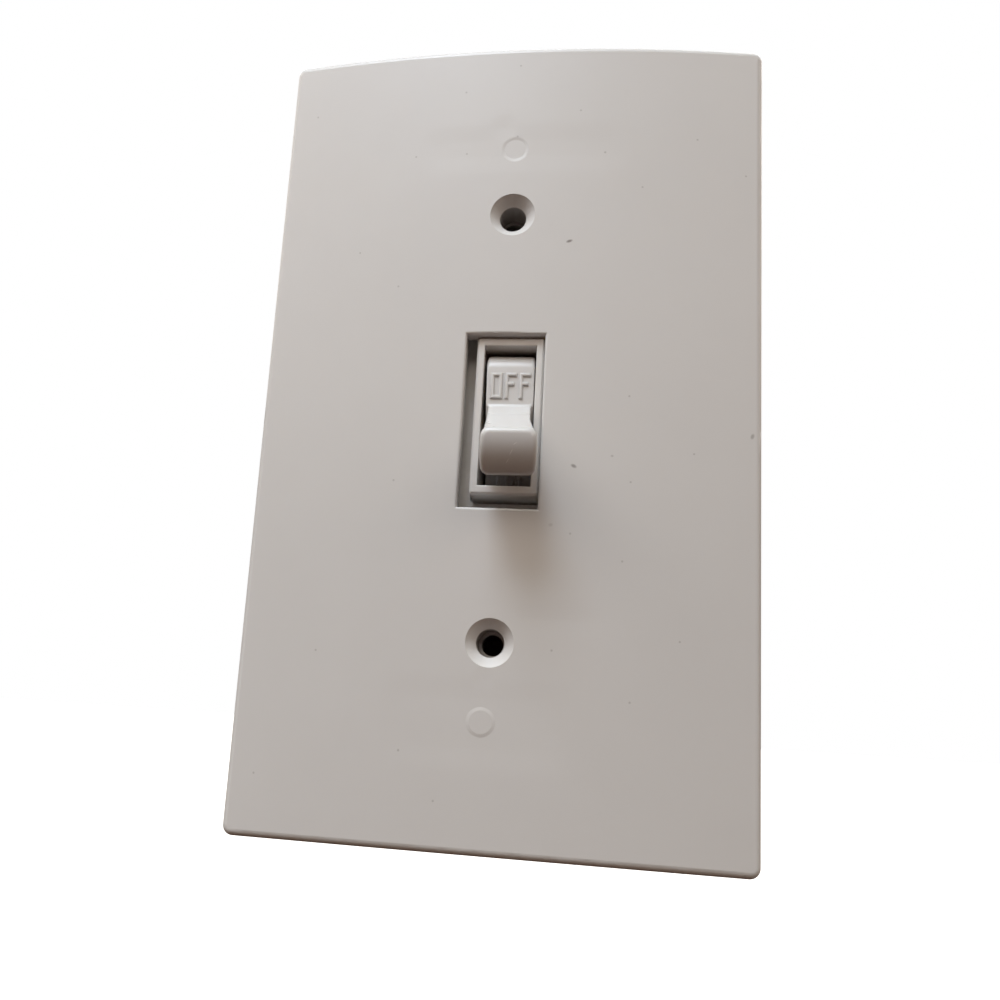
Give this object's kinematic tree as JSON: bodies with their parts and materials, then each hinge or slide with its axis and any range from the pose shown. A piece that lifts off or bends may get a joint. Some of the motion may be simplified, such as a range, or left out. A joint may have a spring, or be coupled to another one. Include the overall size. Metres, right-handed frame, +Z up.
{
  "type": "toggle wall switch",
  "caption": "Toggle wall switch under a crowned cover plate: a rocking handle throws a sprung contact arm inside a moulded body held in a wall box by its strap.",
  "frame": {"origin": "on the wall's surface, midway between the cover plate's two screw holes", "axes": "front of the switch faces -Y, +Y goes into the wall, +Z up, +X to the right as seen from the front"},
  "size_m": [0.07, 0.0424, 0.1152],
  "materials": {
    "plate_plastic": "moulded, satin with a soft gloss",
    "strap_steel": "dull galvanised",
    "cover_plastic": "moulded, light grey",
    "base_plastic": "moulded thermoset",
    "toggle_plastic": "moulded, glossy",
    "nylon": "natural nylon",
    "spring_steel": "bright drawn wire",
    "brass": "stamped",
    "terminal_brass": "plated, bright",
    "silver": "silver alloy",
    "green_screw": "green passivated",
    "bronze_strip": "phosphor bronze",
    "zinc_steel": "zinc plated",
    "fibre": "vulcanised fibre"
  },
  "bodies": {
    "switch_body": {"wall_plate": "plate_plastic", "mounting_strap": "strap_steel", "switch_cover": "cover_plastic", "housing_base": "base_plastic", "arm_pin": "spring_steel", "line_terminal": "brass", "load_terminal": "brass", "fixed_contact": "silver", "line_wire_clip": "bronze_strip", "load_wire_clip": "bronze_strip", "box_screws": "zinc_steel", "screw_retainers": "fibre", "body_rivets": "zinc_steel"},
    "toggle": {"toggle_lever": "toggle_plastic", "toggle_spring": "spring_steel"},
    "plunger": {"spring_plunger": "nylon"},
    "arm": {"contact_arm": "brass", "moving_contact": "silver"},
    "line_screw": {"line_screw": "terminal_brass"},
    "load_screw": {"load_screw": "terminal_brass"},
    "ground_screw": {"ground_screw": "green_screw"}
  },
  "joints": [
    {"name": "toggle_throw", "type": "hinge", "parent": "switch_body", "child": "toggle", "pos_m": [0.00068, 0.0017, 0.001], "axis": [-1, 0, 0], "range_deg": [0, 51.6]},
    {"name": "contact_rock", "type": "hinge", "parent": "switch_body", "child": "arm", "pos_m": [0.00068, 0.0156, 0.001], "axis": [1, 0, 0], "range_deg": [0, 12]},
    {"name": "plunger_slide", "type": "slide", "parent": "toggle", "child": "plunger", "axis": [0, -0.9003, -0.4352], "range_m": [0, 0.0008], "stiffness_N_per_m": 200, "springref_m": -0.002, "deforming": ["toggle_spring"]},
    {"name": "line_screw_out", "type": "slide", "parent": "switch_body", "child": "line_screw", "axis": [1, 0, 0], "range_m": [0, 0.003]},
    {"name": "load_screw_out", "type": "slide", "parent": "switch_body", "child": "load_screw", "axis": [1, 0, 0], "range_m": [0, 0.003]},
    {"name": "ground_screw_out", "type": "slide", "parent": "switch_body", "child": "ground_screw", "axis": [-1, 0, 0], "range_m": [0, 0.004]}
  ],
  "couplings": [
    {"joint": "contact_rock", "follows": "toggle_throw", "ratio": 0.23255}
  ]
}
